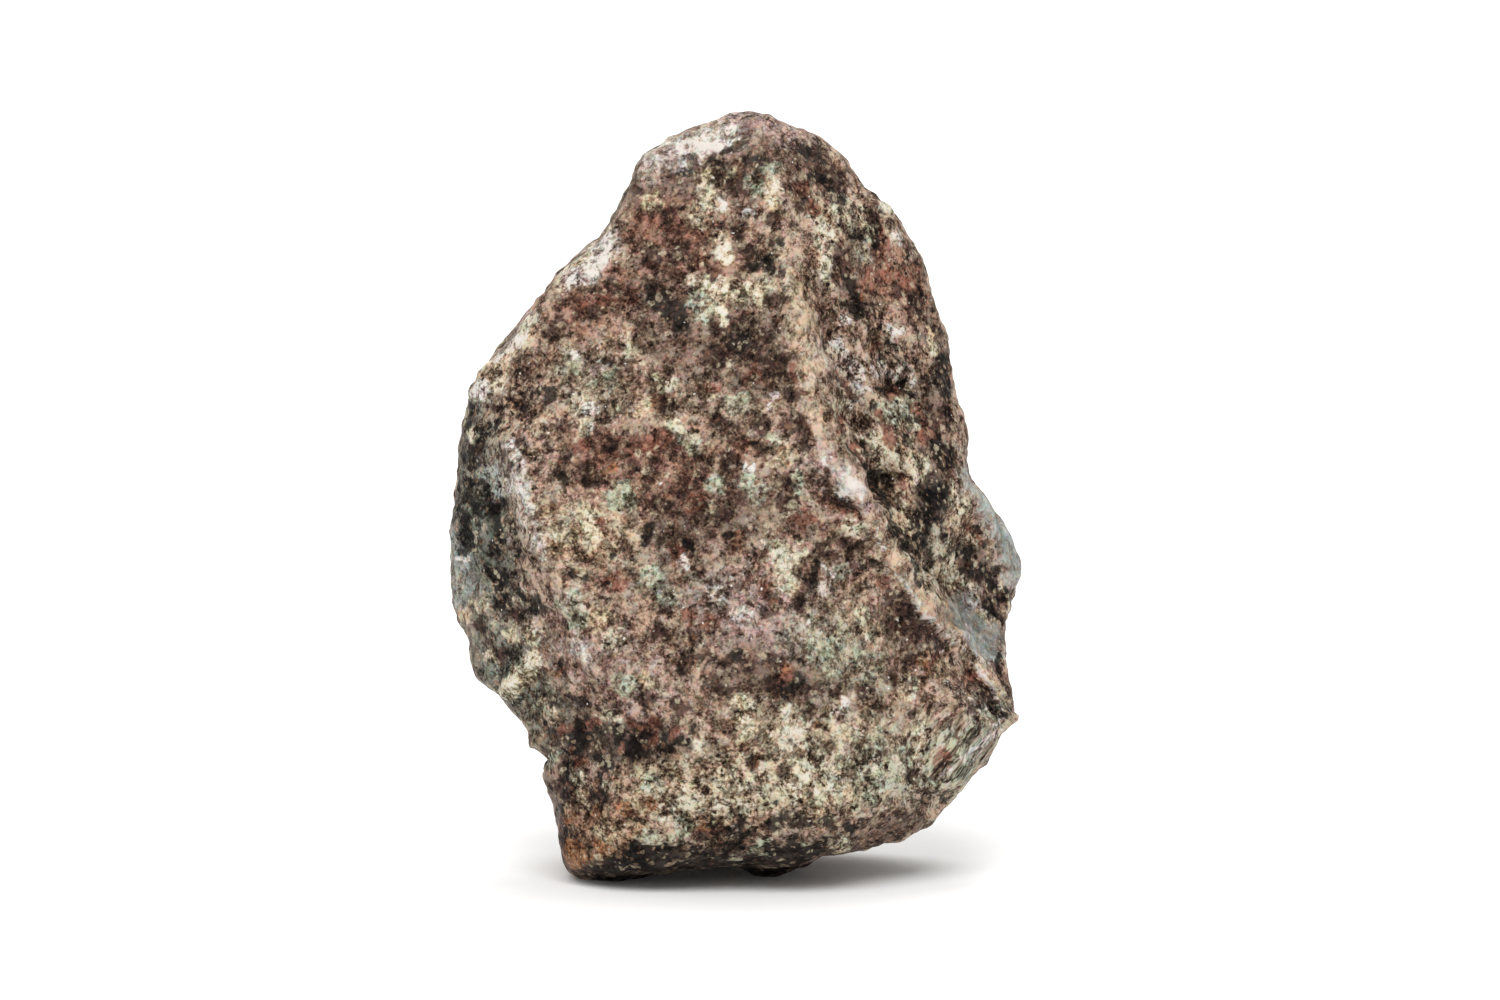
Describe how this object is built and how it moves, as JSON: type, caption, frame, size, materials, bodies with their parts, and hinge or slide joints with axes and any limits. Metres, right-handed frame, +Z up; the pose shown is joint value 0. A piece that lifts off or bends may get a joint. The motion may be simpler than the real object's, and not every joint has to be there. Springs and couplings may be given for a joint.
{
  "type": "meteorite",
  "caption": "Upright broken fragment of a stony meteorite: a broad front face, a ridge down to a short spur at the right, a pointed crown and a narrow foot that it rests on.",
  "frame": {"origin": "on the resting plane, under the middle of the stone's bounding box", "axes": "+Z up from the foot to the crown, -Y out of the broad front face, +X towards the spur"},
  "size_m": [0.0302, 0.0208, 0.04],
  "materials": {
    "chondrite": "satin"
  },
  "bodies": {
    "root": {"meteorite": "chondrite"}
  },
  "joints": []
}
